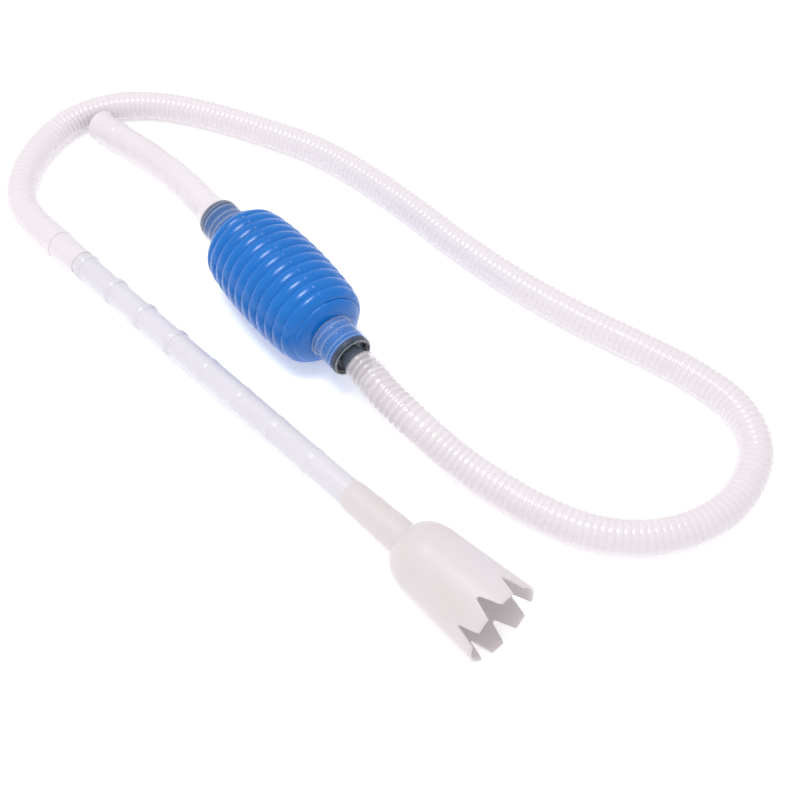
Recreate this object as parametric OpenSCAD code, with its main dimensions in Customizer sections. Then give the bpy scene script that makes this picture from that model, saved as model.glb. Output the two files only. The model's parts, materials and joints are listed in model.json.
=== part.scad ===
// Gravel vacuum siphon: a ribbed squeeze bulb with a one-way valve in each neck, a long
// corrugated hose from the inlet to a gravel tube with a toothed cup, and a short tail hose.
// Water runs cup -> gravel tube -> main hose -> bulb -> tail hose.
// Everything lies on the plane z = 0. The gravel tube runs along +X, cup end forward.

/* [Bulb] */
// Length of the ribbed bulb, without its necks
bulb_len = 104; // [90:1:130]
// Diameter over the middle ribs
bulb_d = 62; // [50:0.5:80]
// Diameter over the first and last rib
bulb_end_d = 53; // [44:0.5:60]
// Radius that rounds the bulb's two ends
bulb_round = 14; // [8:0.5:18]
// Number of ribs
bulb_ribs = 12; // [6:1:16]
// Length of the smooth dome at each end of the bulb
dome_len = 5.2; // [3:0.1:9]
// Depth of the grooves between the ribs
rib_depth = 1.3; // [0.5:0.1:2]
// Wall of the bulb
bulb_wall = 1.8; // [1.2:0.1:3]
// Outside diameter of the bulb's necks
neck_d = 26.4; // [25.4:0.2:30]
// Length of each neck beyond the bulb's face
neck_len = 17.8; // [14:0.2:24]
// Wall of the necks
neck_wall = 2; // [1:0.1:3]

/* [Collars and gaskets] */
// Thickness of the lip that holds the gasket in the collar
lip_t = 1.3; // [0.8:0.1:3]
// Wall of the collar at its wide inner end
collar_wall = 1.8; // [1:0.1:3]
// How far the lip reaches over the gasket
lip_cover = 1.4; // [0.6:0.1:1.8]
// Thickness of the gasket
gasket_t = 3; // [1:0.1:4]

/* [Valves] */
// Thickness of the flange that a valve body holds in the collar
flange_t = 3.7; // [2:0.1:5]
// Radius of the water passage through a valve
valve_bore_r = 5; // [3:0.1:5.5]
// Height of the barb over its spigot
barb_h = 1.2; // [0.5:0.1:1.8]
// Radius of the loose valve disc
disc_r = 8; // [7.7:0.1:8.8]
// Thickness of the valve disc
disc_t = 1.6; // [0.8:0.1:2.5]
// How far a valve disc lifts off its seat
disc_lift = 2.2; // [1:0.1:3]

/* [Hoses] */
// Outside diameter of both hoses
hose_od = 20; // [18:0.5:20.5]
// Wall of the hoses' smooth ends
end_wall = 1.95; // [1.65:0.05:2.5]
// Length of hose end that sits under the corrugated skin
cuff_under = 12; // [6:0.5:16]
// Length of the outlet cuff's cone
cone_len = 11.4; // [6:0.2:16]
// Length of the smooth tapered cuff that grips the gravel tube
grip_len = 24.5; // [15:0.5:30]
// Length of the smooth cuff on the tail hose's free end
tail_cuff_len = 37; // [25:1:60]
// Wall of the tail hose's free end
tail_wall = 1.5; // [0.9:0.1:2.5]

/* [Gravel tube] */
// Wall of the gravel tube
tube_wall = 1.1; // [0.8:0.1:2]
// Length of the gravel tube
tube_len = 332.5; // [250:0.5:400]
// Spacing of the ring beads
bead_pitch = 31.2; // [20:0.1:45]
// Height of the four tall beads at the hose end
bead_tall = 1.15; // [0.5:0.05:2]
// Height of the low beads
bead_low = 0.45; // [0.2:0.05:1]
// Length of a bead
bead_len = 5; // [3:0.1:8]

/* [Gravel cup] */
// Diameter over the teeth
cup_d = 47.2; // [40:0.2:60]
// Diameter just past the shoulder
shoulder_d = 41; // [34:0.2:50]
// Length of the round shoulder
shoulder_len = 20; // [12:0.5:30]
// Length from the shoulder to the tips of the teeth
skirt_len = 48.2; // [36:0.2:80]
// Wall of the cup
cup_wall = 1.3; // [1:0.1:3]
// Length of the socket that the gravel tube fits in
socket_len = 42.5; // [25:0.5:60]
// Depth of the notches between the teeth
tooth_len = 11.3; // [6:0.1:16]
// Width of a notch at the tips of the teeth
notch_w = 9.8; // [6:0.1:12]

/* [Layout] */
// Centre of the bulb, along X
bulb_x = -46; // [-80:1:0]
// Centre of the bulb, along Y
bulb_y = 31; // [20:1:60]
// Turn of the bulb's axis from the gravel tube's
bulb_yaw = -7; // [-15:1:15]
// Hose end of the gravel tube's cuff, along X
cuff_x = -206; // [-230:1:-180]
// Gravel tube's axis, along Y
tube_y = -38; // [-60:1:-20]
// Roll of the cup about its axis
cup_roll = 18; // [0:1:45]
// Tip of the tail hose's free end
tail_tip = [-273.2, 51.4];
// Direction that the tail hose's free end points
tail_yaw = 186; // [150:1:210]

/* [Hidden] */
$fn = 96;

blue = [0.16, 0.50, 0.86];
clear_blue = [0.62, 0.74, 0.90, 0.6];
milky = [0.92, 0.89, 0.93];
dark_grey = [0.22, 0.24, 0.28];
black = [0.05, 0.05, 0.05];

// Clearances between pieces that fit together
fit_gap = 0.05;      // a push fit
free_gap = 0.3;      // pieces of different bodies, or loose in each other
face_gap = 0.1;      // faces that rest on each other
flange_gap = 0.2;    // behind a valve's flange in its neck
gasket_gap = 0.15;   // between a gasket and the hose end through it

bulb_r = bulb_d/2;
// The bulb lies on its widest part, which is its ends if they are wider than its middle
bulb_z = max(bulb_d, bulb_end_d)/2;
neck_r = neck_d/2;
neck_bore_r = neck_r - neck_wall;
pocket_r = neck_r - neck_wall/2;
lip_r = neck_r - lip_cover;
hose_r = hose_od/2;
bore_r = hose_r - end_wall;
half_len = bulb_len/2;
// The gravel tube pushes into the hose's smooth end
tube_r = bore_r - fit_gap;
tail_bore_r = hose_r - tail_wall;

// Places along the axis of a neck, measured outwards from the bulb's centre
neck_end = half_len + neck_len;
flange_out = neck_end + face_gap;
flange_in = flange_out - flange_t;
pocket_in = flange_in - flange_gap;
gasket_out = flange_out + gasket_t;
collar_start = half_len + free_gap;
collar_end = gasket_out + face_gap + lip_t;
spigot_r = bore_r - face_gap/2 - barb_h;
barb_len = 6;
barb_in = collar_end + 0.8;
barb_out = barb_in + barb_len;
spigot_out = barb_out + 3;
cuff_thin = barb_out - 0.8;
cuff_out = cuff_thin + cuff_under;
cage_r = neck_bore_r - face_gap;
cage_bore_r = disc_r + 1.2;
inner_r = neck_r + free_gap;
cuff_r = hose_r + 0.2;
// The corrugated skin sits on the thin part of a smooth end
thin_r = hose_r - 1.4;
sleeve_r = hose_r + 0.15;

// The gravel tube lies with its hose end and the cup's rim on the floor
skin_end = cuff_under + 3.5;
cuff_len = skin_end + grip_len;
tube_start = 3;
tube_stop = socket_len - 2;
cup_start = tube_start + tube_len - tube_stop + 0.5;
tube_bead_0 = cuff_len + 6;
tip_s = cup_start + socket_len + shoulder_len + skirt_len;
tube_tilt = atan((cup_d/2 - hose_r)/tip_s);
cuff_z = hose_r*cos(tube_tilt);

tail_flare_r = hose_r + 1.5;

// Outline of the bulb without its grooves, at z along its axis
function barrel(z) = bulb_r - (bulb_d - bulb_end_d)/2*pow(z/half_len, 2);
function round_off(z) = let (e = half_len - abs(z)) e >= bulb_round ? 0 :
    bulb_round - sqrt(max(0, bulb_round*bulb_round - pow(bulb_round - e, 2)));
function envelope(z) = barrel(z) - round_off(z);
rib_pitch = (bulb_len - 2*dome_len)/bulb_ribs;
rib_z0 = -rib_pitch*(bulb_ribs - 1)/2;
crest_share = 0.26;
rib_points = [for (k = [0:bulb_ribs - 1]) let (z = rib_z0 + k*rib_pitch)
    each [[envelope(z - rib_pitch/2) - rib_depth, z - rib_pitch/2],
          [envelope(z - rib_pitch*crest_share), z - rib_pitch*crest_share],
          [envelope(z + rib_pitch*crest_share), z + rib_pitch*crest_share]]];
rib_end = rib_z0 + (bulb_ribs - 0.5)*rib_pitch;
dome_steps = [0.15, 0.35, 0.55, 0.75, 0.92];
dome_points = [for (t = dome_steps) let (z = rib_end + (half_len - rib_end)*t)
    [envelope(z), z]];
function reversed(points) = [for (i = [len(points) - 1:-1:0]) points[i]];
function flipped(points) = [for (p = reversed(points)) [p[0], -p[1]]];
bulb_outside = concat(
    [[neck_r, -neck_end], [neck_r, -half_len]], flipped(dome_points), rib_points,
    [[envelope(rib_end) - rib_depth, rib_end]], dome_points,
    [[neck_r, half_len], [neck_r, neck_end]]);
inside_end = half_len - bulb_wall;
inside_steps = [-0.99, -0.96, -0.9, -0.8, -0.6, -0.3, 0, 0.3, 0.6, 0.8, 0.9, 0.96, 0.99];
bulb_inside = [for (t = inside_steps)
    [max(neck_bore_r, envelope(t*inside_end) - rib_depth - bulb_wall), t*inside_end]];
// A pocket in the end of each neck holds a valve's flange
neck_inside = [[pocket_r, neck_end], [pocket_r, pocket_in], [neck_bore_r, pocket_in],
    [neck_bore_r, inside_end]];

// A route is a list of points; the hose follows a smooth curve through all of them
function cr_point(p, i, t) = let (n = len(p) - 1,
    a = p[max(i - 1, 0)], b = p[i], c = p[min(i + 1, n)], d = p[min(i + 2, n)])
    0.5*(2*b + (c - a)*t + (2*a - 5*b + 4*c - d)*t*t + (3*b - a - 3*c + d)*t*t*t);
function off_floor(p) = [p[0], p[1], max(p[2], cuff_z)];
function smooth_route(p, steps) = concat(
    [for (i = [0:len(p) - 2], k = [0:steps - 1]) off_floor(cr_point(p, i, k/steps))],
    [p[len(p) - 1]]);
function unit(v) = v/norm(v);
function heading(p, i) = unit(p[min(i + 1, len(p) - 1)] - p[max(i - 1, 0)]);
HOSE_SIDES = 12;
function ring(c, dir, r) = let (side = unit(cross(dir, [0, 0, 1])), up = cross(side, dir))
    [for (k = [0:HOSE_SIDES - 1]) let (a = 360*k/HOSE_SIDES)
        c + r*(cos(a)*up + sin(a)*side)];

// Ends of the hoses, at the faces of the pieces that they meet
function at_neck(s, yaw) = [bulb_x + s*cos(yaw), bulb_y + s*sin(yaw), bulb_z];
function level(yaw) = [cos(yaw), sin(yaw), 0];
tail_back = tail_cuff_len + cuff_under;
tail_start = [tail_tip[0] - tail_back*cos(tail_yaw),
              tail_tip[1] - tail_back*sin(tail_yaw), tail_flare_r];

// The main hose runs straight off the inlet, down to the floor, round a wide loop to the
// right, back behind the bulb and round a tighter bend into the gravel tube
main_route = concat([at_neck(cuff_out, bulb_yaw)], [
    [60, 17.5, 30], [86, 18, 24.5], [114, 22.5, 14.5], [140, 27.5, 10.3], [162, 31.5, 10],
    [190, 41, 10], [213, 58, 10], [229, 83, 10], [235, 114, 10], [225, 148, 10],
    [200, 167, 10], [168, 169.5, 10], [130, 164, 10], [88, 156, 10], [40, 150.5, 10],
    [-10, 149.5, 10], [-60, 151.5, 10], [-110, 150.5, 10], [-150, 145, 10],
    [-190, 132, 10], [-230, 116, 10], [-262, 98, 10], [-284, 76, 10], [-293.5, 49, 10],
    [-291, 24, 10], [-279, -2, 10], [-262, -22, 10], [-243, -34, 10], [-225, -37.5, 10]],
    [[cuff_x, tube_y, cuff_z]]);
// The tail hose drops to the floor and ends in its own cuff
tail_route = concat([at_neck(cuff_out, bulb_yaw + 180)], [
    [-152, 45, 29], [-170, 48.8, 24.2], [-190, 52.8, 18.6], [-208, 55.3, 13.7]],
    [tail_start]);

// Both ends are square to the pieces they meet: start and end give the directions there
module hose(route, steps, start, end) {
    line = smooth_route(route, steps);
    n = len(line);
    points = [for (i = [0:n - 1]) each ring(line[i],
        i == 0 ? start : i == n - 1 ? end : heading(line, i), hose_r)];
    m = HOSE_SIDES;
    sides = [for (i = [0:n - 2], k = [0:m - 1])
        [i*m + k, i*m + (k + 1)%m, (i + 1)*m + (k + 1)%m, (i + 1)*m + k]];
    first = [for (k = [m - 1:-1:0]) k];
    last = [for (k = [0:m - 1]) (n - 1)*m + k];
    polyhedron(points, concat([first], sides, [last]), convexity = 10);
}

// Frames that the pieces are drawn in: +Z runs outwards along the neck or towards the cup
module on_inlet() {
    translate([bulb_x, bulb_y, bulb_z]) rotate([0, 0, bulb_yaw]) rotate([0, 90, 0])
        children();
}
module on_outlet() {
    translate([bulb_x, bulb_y, bulb_z]) rotate([0, 0, bulb_yaw + 180]) rotate([0, 90, 0])
        children();
}
module on_tube() {
    translate([cuff_x, tube_y, cuff_z]) rotate([0, -tube_tilt, 0]) rotate([0, 90, 0])
        children();
}
module on_tail_end() {
    translate(tail_start) rotate([0, 0, tail_yaw]) rotate([0, 90, 0]) children();
}

// Ring of rectangular section from z0 to z1
module tube(r_out, r_in, z0, z1) {
    translate([0, 0, z0]) difference() {
        cylinder(r = r_out, h = z1 - z0);
        translate([0, 0, -1]) cylinder(r = r_in, h = z1 - z0 + 2);
    }
}

module bulb() {
    color(blue) on_inlet() rotate_extrude()
        polygon(concat(bulb_outside, neck_inside, reversed(bulb_inside),
            flipped(neck_inside)));
}

// Clear sleeve over a neck, with two soft ribs and a rounded outer rim
module collar() {
    r = inner_r + collar_wall;
    z = collar_start;
    end = collar_end;
    // Soft ribs: share of the collar's length, and depth below its widest radius
    ribs = [[0.055, 0], [0.205, 0.1], [0.325, 0.9], [0.41, 0.4], [0.52, 1.2], [0.59, 1],
        [0.68, 0.5], [0.82, 0.5]];
    color(clear_blue) rotate_extrude() polygon(concat(
        [[inner_r, z], [r - 0.6, z]],
        [for (p = ribs) [r - p[1]*min(1, collar_wall/1.5), z + p[0]*(end - z)]],
        [[r - 1, end - 1.6], [r - 1.9, end - 0.3], [r - 2.6, end], [lip_r, end],
         [lip_r, gasket_out + face_gap], [inner_r, gasket_out + face_gap]]));
}

module gasket() {
    color(black) tube(neck_r, cuff_r + gasket_gap, flange_out, gasket_out);
}

// Flange that sits in the neck's pocket, with a barbed spigot for the hose
module valve_body() {
    flange_r = pocket_r - face_gap;
    color(dark_grey) rotate_extrude() polygon([
        [valve_bore_r, flange_in], [flange_r, flange_in], [flange_r, flange_out],
        [spigot_r, flange_out], [spigot_r, barb_in], [spigot_r + barb_h, barb_in + 0.6],
        [spigot_r + barb_h, barb_out - 1], [spigot_r, barb_out], [spigot_r, spigot_out],
        [valve_bore_r, spigot_out]]);
}

// Basket in the inlet neck: its pierced floor stops the disc when it lifts
cage_out = flange_in - face_gap;
inlet_disc_z = flange_in - free_gap - disc_t;
cage_floor_out = inlet_disc_z - disc_lift - free_gap;
cage_floor_t = 1.8;
cage_hole_ring_r = 5.6;
cage_hole_r = 2.2;
module pierced_floor(z0, z1) {
    holes = 6;
    difference() {
        translate([0, 0, z0]) cylinder(r = cage_r, h = z1 - z0);
        for (k = [0:holes - 1]) rotate([0, 0, 360*k/holes])
            translate([cage_hole_ring_r, 0, z0 - 1])
                cylinder(r = cage_hole_r, h = z1 - z0 + 2, $fn = 32);
    }
}

// Seat in the outlet neck: a plate with a round hole inside a short skirt
seat_t = 2;
nub_h = 1.5;
nub_ring_r = 6.6;
// The disc lifts until it meets the nubs under the valve body
outlet_disc_z = cage_out - 1.4 - disc_lift - disc_t - free_gap;
seat_out = outlet_disc_z - free_gap;

module disc(z) {
    color(black) translate([0, 0, z]) cylinder(r = disc_r, h = disc_t);
}

// Smooth hose end over the barb, with a thin part for the corrugated skin
module smooth_cuff() {
    color(milky) rotate_extrude() polygon([
        [bore_r, flange_out + face_gap], [cuff_r, flange_out + face_gap],
        [cuff_r, cuff_thin - 0.6], [hose_r - 0.2, cuff_thin], [thin_r, cuff_thin],
        [thin_r, cuff_out], [bore_r, cuff_out]]);
}

// The outlet's hose end widens to the collar's rim and covers the skin's first rings
module coned_cuff() {
    start = collar_end + free_gap;
    rim = neck_r + face_gap;
    end = start + cone_len;
    foot = sleeve_r + 0.35;
    // Share of the cone's length, and share of its height left there
    fall = [[0.07, 0.98], [0.26, 0.64], [0.53, 0.25], [0.79, 0.05], [1, 0]];
    color(milky) rotate_extrude() polygon(concat(
        [[bore_r, flange_out + face_gap], [cuff_r, flange_out + face_gap], [cuff_r, start],
         [rim, start]],
        [for (p = fall) [foot + (rim - foot)*p[1], start + p[0]*(end - start)]],
        end > cuff_thin ? [[sleeve_r, end], [sleeve_r, cuff_thin]] : [[sleeve_r, end]],
        [[thin_r, max(cuff_thin, end - cone_len)], [thin_r, cuff_out], [bore_r, cuff_out]]));
}

module gravel_tube() {
    r = tube_r;
    tall_beads = 4;
    color(milky) on_tube() difference() {
        union() {
            translate([0, 0, tube_start]) cylinder(r = r, h = tube_len);
            for (s = [tube_bead_0:bead_pitch:cup_start - bead_len])
                translate([0, 0, s]) bead(r,
                    s < tube_bead_0 + (tall_beads - 0.5)*bead_pitch ? bead_tall : bead_low);
        }
        translate([0, 0, tube_start - 1]) cylinder(r = r - tube_wall, h = tube_len + 2);
    }
}

// Ring bead with sloping sides, centred at z = 0, sunk a little into the tube
module bead(r, h) {
    sunk = 0.5;
    rotate_extrude() polygon([
        [r - sunk, -bead_len/2], [r, -bead_len/2], [r + h*0.75, -bead_len*0.3],
        [r + h, -bead_len*0.12], [r + h, bead_len*0.12], [r + h*0.75, bead_len*0.3],
        [r, bead_len/2], [r - sunk, bead_len/2]]);
}

// Smooth end that tapers down to the gravel tube
module tube_cuff() {
    wide_r = hose_r - 0.3;
    narrow_r = bore_r + 0.55;
    color(milky) on_tube() rotate_extrude() polygon([
        [bore_r, 0], [thin_r, 0], [thin_r, skin_end], [wide_r, skin_end],
        [wide_r, skin_end + 2], [narrow_r, cuff_len - 1], [narrow_r - 0.25, cuff_len],
        [bore_r, cuff_len]]);
}

// Socket, round shoulder and slightly flared skirt, notched into teeth
socket_bore_r = tube_r + fit_gap;
shoulder_z = socket_len;
skirt_z = socket_len + shoulder_len;
cup_len = skirt_z + skirt_len;
throat_r = tube_r - 1;
function shoulder_r(t) = socket_bore_r + 1.7
    + (shoulder_d/2 - socket_bore_r - 1.7)*sqrt(1 - pow(1 - t, 2));
shoulder_steps = [0.01, 0.05, 0.12, 0.22, 0.35, 0.5, 0.7, 1];
// The socket's wall steps up twice: share of its length, and thickness
socket_steps = [[0, 0.5], [0.08, 0.95], [0.34, 1], [0.353, 1.35], [0.67, 1.35],
    [0.683, 1.7], [1, 1.7]];
cup_outside = concat(
    [[socket_bore_r, 0]],
    [for (p = socket_steps) [socket_bore_r + p[1], p[0]*socket_len]],
    [for (t = shoulder_steps) [shoulder_r(t), shoulder_z + shoulder_len*t]],
    [[cup_d/2, cup_len], [cup_d/2 - cup_wall, cup_len]]);
cup_inside = concat(
    [for (i = [len(shoulder_steps) - 1:-1:1]) let (t = shoulder_steps[i])
        [shoulder_r(t) - cup_wall, shoulder_z + cup_wall + (shoulder_len - cup_wall)*t]],
    [[throat_r, shoulder_z + cup_wall], [throat_r, tube_stop], [socket_bore_r, tube_stop]]);

module gravel_cup() {
    root_w = 1.8;
    // Two broad teeth lie where the notches at 0 and 180 degrees are left out
    notch_angles = [45, 90, 135, 225, 270, 315];
    color(milky) on_tube() translate([0, 0, cup_start]) difference() {
        rotate_extrude() polygon(concat(cup_outside, cup_inside));
        for (a = notch_angles) rotate([0, 0, 90 + a + cup_roll])
            rotate([90, 0, 90]) translate([0, 0, shoulder_d/4])
                linear_extrude(cup_d) polygon([
                    [-root_w/2, cup_len - tooth_len + root_w*0.4],
                    [-root_w/4, cup_len - tooth_len], [root_w/4, cup_len - tooth_len],
                    [root_w/2, cup_len - tooth_len + root_w*0.4],
                    [notch_w/2 + 0.4, cup_len + 1], [-notch_w/2 - 0.4, cup_len + 1]]);
    }
}

module tail_end_cuff() {
    z1 = cuff_under;
    end = tail_back;
    ring_z = (z1 + end)/2;
    narrow_r = thin_r - 0.55;
    color(milky) on_tail_end() rotate_extrude() polygon([
        [narrow_r, 0], [thin_r, 0], [thin_r, z1], [hose_r - 0.2, z1],
        [hose_r, z1 + 0.8], [hose_r, ring_z - 1.6], [hose_r + 0.7, ring_z - 0.6],
        [hose_r + 0.7, ring_z + 0.6], [hose_r, ring_z + 1.6], [hose_r, end - 7],
        [hose_r + 0.5, end - 4], [tail_flare_r, end - 1], [tail_flare_r, end],
        [tail_flare_r - 1, end], [tail_bore_r, end - 4], [tail_bore_r, z1],
        [narrow_r, z1]]);
}

module main_hose() {
    color(milky) hose(main_route, 2, level(bulb_yaw), [cos(tube_tilt), 0, sin(tube_tilt)]);
}
module tail_hose() {
    color(milky) hose(tail_route, 2, level(bulb_yaw + 180), level(tail_yaw));
}
module inlet_cuff() { on_inlet() smooth_cuff(); }
module inlet_gasket() { on_inlet() gasket(); }
module inlet_valve_body() { on_inlet() valve_body(); }
module inlet_valve_disc() { on_inlet() disc(inlet_disc_z); }
module inlet_valve_cage() {
    color(dark_grey) on_inlet() union() {
        tube(cage_r, cage_bore_r, cage_floor_out - 0.5, cage_out);
        pierced_floor(cage_floor_out - cage_floor_t, cage_floor_out);
    }
}
module inlet_collar() { on_inlet() collar(); }
module outlet_collar() { on_outlet() collar(); }
module outlet_valve_seat() {
    color(dark_grey) on_outlet() union() {
        tube(cage_r, cage_bore_r, seat_out - 0.5, cage_out);
        tube(cage_r, valve_bore_r, seat_out - seat_t, seat_out);
    }
}
module outlet_valve_disc() { on_outlet() disc(outlet_disc_z); }
module outlet_valve_body() {
    on_outlet() {
        valve_body();
        color(dark_grey) for (a = [45:90:315]) rotate([0, 0, a])
            translate([nub_ring_r, 0, flange_in - nub_h])
                cylinder(r = 1, h = nub_h + 0.5, $fn = 24);
    }
}
module outlet_gasket() { on_outlet() gasket(); }
module outlet_cuff() { on_outlet() coned_cuff(); }

gravel_cup();
gravel_tube();
tube_cuff();
main_hose();
inlet_cuff();
inlet_gasket();
inlet_valve_body();
inlet_valve_disc();
inlet_valve_cage();
inlet_collar();
bulb();
outlet_collar();
outlet_valve_seat();
outlet_valve_disc();
outlet_valve_body();
outlet_gasket();
outlet_cuff();
tail_hose();
tail_end_cuff();
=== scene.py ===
"""Looks of a gravel vacuum siphon: a ribbed blue squeeze bulb with clear collars, milky
corrugated hoses, a ring-beaded gravel tube and a toothed cup, on a pale floor.

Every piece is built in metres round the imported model, which gives its place. Pieces of
revolution are turned from an outline of (radius, distance along the axis)."""

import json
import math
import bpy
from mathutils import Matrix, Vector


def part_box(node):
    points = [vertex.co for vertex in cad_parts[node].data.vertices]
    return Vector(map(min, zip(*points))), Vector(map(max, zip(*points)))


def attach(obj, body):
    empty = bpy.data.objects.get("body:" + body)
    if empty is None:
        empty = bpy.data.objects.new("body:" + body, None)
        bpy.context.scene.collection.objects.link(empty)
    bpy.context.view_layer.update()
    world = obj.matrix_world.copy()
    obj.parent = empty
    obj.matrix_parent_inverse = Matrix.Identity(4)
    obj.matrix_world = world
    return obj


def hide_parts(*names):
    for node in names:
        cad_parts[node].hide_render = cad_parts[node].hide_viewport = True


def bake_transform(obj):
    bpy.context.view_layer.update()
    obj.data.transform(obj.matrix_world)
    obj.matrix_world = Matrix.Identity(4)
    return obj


bl_info = {
    "name": "Gravel Vacuum Siphon",
    "version": (1, 0, 0),
    "blender": (4, 5, 0),
    "location": "View3D > Sidebar > Siphon",
    "description": "Builds a gravel vacuum siphon piece by piece",
    "category": "Add Mesh",
}

import bmesh
import bpy
import numpy as np
from bpy.props import FloatProperty, FloatVectorProperty, IntProperty, PointerProperty
from mathutils import Vector

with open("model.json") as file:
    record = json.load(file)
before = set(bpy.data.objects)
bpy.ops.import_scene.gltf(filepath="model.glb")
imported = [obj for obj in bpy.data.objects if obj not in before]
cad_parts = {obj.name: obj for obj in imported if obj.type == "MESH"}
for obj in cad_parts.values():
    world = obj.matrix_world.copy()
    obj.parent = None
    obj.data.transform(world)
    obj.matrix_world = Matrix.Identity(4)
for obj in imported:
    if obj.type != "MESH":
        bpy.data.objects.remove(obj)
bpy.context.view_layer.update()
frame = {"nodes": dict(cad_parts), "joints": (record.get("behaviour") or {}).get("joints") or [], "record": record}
MM = 0.001
UP = Vector((0, 0, 1))
FLOOR_GAP = 0.0004
BAKE_MAP = "OFBake"

JOINTS = {joint["name"]: joint for joint in frame["joints"]}
MOUNTS = {mount["name"]: mount for mount in frame["record"]["mounts"]}


# ---------------------------------------------------------------- places


class Place:
    """An origin and an axis. Angles round the axis are counted from straight up."""

    def __init__(self, origin, axis):
        self.origin = Vector(origin)
        self.axis = Vector(axis).normalized()
        self.side = UP.cross(self.axis).normalized()
        self.up = self.axis.cross(self.side)

    def at(self, distance):
        return self.origin + self.axis * distance


def middle(node):
    low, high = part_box(node)
    return (low + high) / 2


def height(node):
    low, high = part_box(node)
    return high.z - low.z


OUTWARDS = -Vector(JOINTS["bulb_squeeze"]["axis"])
INLET = Place(middle("bulb"), -OUTWARDS)
OUTLET = Place(middle("bulb"), OUTWARDS)
TAIL_MOUNT = MOUNTS["tail_outlet"]
TAIL_BORE_R = TAIL_MOUNT["dims"]["r_mm"] * MM

# Sizes that pieces share, in metres
BULB_HALF = 52 * MM
NECK_LEN = 17.8 * MM
NECK_R = height("inlet_gasket") / 2
NECK_BORE_R = NECK_R - 2 * MM
POCKET_R = NECK_R - 1 * MM
COLLAR_START = 52.3 * MM
COLLAR_END = 74.3 * MM
FLANGE_IN = 66.2 * MM
FLANGE_OUT = 69.9 * MM
GASKET_OUT = 72.9 * MM
BARB_IN = 75.1 * MM
BARB_OUT = 81.1 * MM
SPIGOT_OUT = 84.1 * MM
CUFF_OUT = 92.3 * MM
CUFF_UNDER = 12 * MM
HOSE_R = 10 * MM
HOSE_BORE_R = 8.05 * MM
CUFF_THIN_R = 8.6 * MM
CUFF_R = 10.2 * MM
TUBE_SKIN_END = 15.5 * MM
TUBE_CUFF_LEN = 40 * MM
TAIL_CUFF_END = CUFF_UNDER + TAIL_MOUNT["dims"]["length_mm"] * MM + 4 * MM

# The main hose's route: straight off the inlet, down to the floor, round a wide loop, back
# behind the bulb and round a tighter bend into the gravel tube's cuff
MAIN_ROUTE = [
    INLET.at(CUFF_OUT),
    (0.060, 0.0175, 0.030),
    (0.086, 0.018, 0.0245),
    (0.114, 0.0225, 0.0145),
    (0.140, 0.0275, 0.0103),
    (0.162, 0.0315, 0.010),
    (0.190, 0.041, 0.010),
    (0.213, 0.058, 0.010),
    (0.229, 0.083, 0.010),
    (0.235, 0.114, 0.010),
    (0.225, 0.148, 0.010),
    (0.200, 0.167, 0.010),
    (0.168, 0.1695, 0.010),
    (0.130, 0.164, 0.010),
    (0.088, 0.156, 0.010),
    (0.040, 0.1505, 0.010),
    (-0.010, 0.1495, 0.010),
    (-0.060, 0.1515, 0.010),
    (-0.110, 0.1505, 0.010),
    (-0.150, 0.145, 0.010),
    (-0.190, 0.132, 0.010),
    (-0.230, 0.116, 0.010),
    (-0.262, 0.098, 0.010),
    (-0.284, 0.076, 0.010),
    (-0.2935, 0.049, 0.010),
    (-0.291, 0.024, 0.010),
    (-0.279, -0.002, 0.010),
    (-0.262, -0.022, 0.010),
    (-0.243, -0.034, 0.010),
    (-0.225, -0.0375, 0.010),
    (-0.206, -0.038, 0.009994),
]
TUBE = Place(MAIN_ROUTE[-1], JOINTS["cup_pull"]["axis"])
TAIL_AXIS = Vector(TAIL_MOUNT["axis"])
TAIL_START = Vector(TAIL_MOUNT["pos_m"]) - TAIL_AXIS * (
    CUFF_UNDER + TAIL_MOUNT["dims"]["length_mm"] * MM / 2
)
TAIL = Place(TAIL_START, TAIL_AXIS)
# The tail hose drops to the floor and ends in its own cuff
TAIL_ROUTE = [
    OUTLET.at(CUFF_OUT),
    (-0.152, 0.045, 0.029),
    (-0.170, 0.0488, 0.0242),
    (-0.190, 0.0528, 0.0186),
    (-0.208, 0.0553, 0.0137),
    TAIL_START,
]


# ---------------------------------------------------------------- settings


def length(name, description, default):
    return FloatProperty(name=name, description=description, default=default, unit="LENGTH")


def colour(name, description, default):
    return FloatVectorProperty(
        name=name, description=description, default=default, subtype="COLOR", size=3
    )


def factor(name, description, default):
    return FloatProperty(
        name=name, description=description, default=default, min=0, max=1, subtype="FACTOR"
    )


class BulbSettings(bpy.types.PropertyGroup):
    """Shape of the squeeze bulb"""

    ribs: IntProperty(name="Ribs", description="Number of ribs", default=12)
    rib_pitch: length("Rib pitch", "Spacing of the ribs", 7.8 * MM)
    rib_depth: length("Rib depth", "Depth of the grooves between ribs", 1.3 * MM)
    end_r: length("End radius", "Radius over the first and last rib", 26.5 * MM)
    rounding: length("Rounding", "Radius that rounds the two ends", 14 * MM)
    wall: length("Wall", "Thickness of the wall", 1.8 * MM)
    seam_h: length("Seam height", "Height of the mould's parting line", 0.18 * MM)
    mismatch: length("Mismatch", "Offset between the mould's halves", 0.7 * MM)


class HoseSettings(bpy.types.PropertyGroup):
    """Shape of the corrugated hoses"""

    pitch: length("Pitch", "Spacing of the corrugations", 3.98 * MM)
    depth: length("Depth", "Depth of the corrugations", 0.36 * MM)
    bore_r: length("Bore radius", "Inside radius of the skin", 8.7 * MM)
    clear_len: length("Clear length", "Length near the bulb that is clearer", 55 * MM)
    seam_h: length("Seam height", "Height of the parting line", 0.1 * MM)


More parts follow.
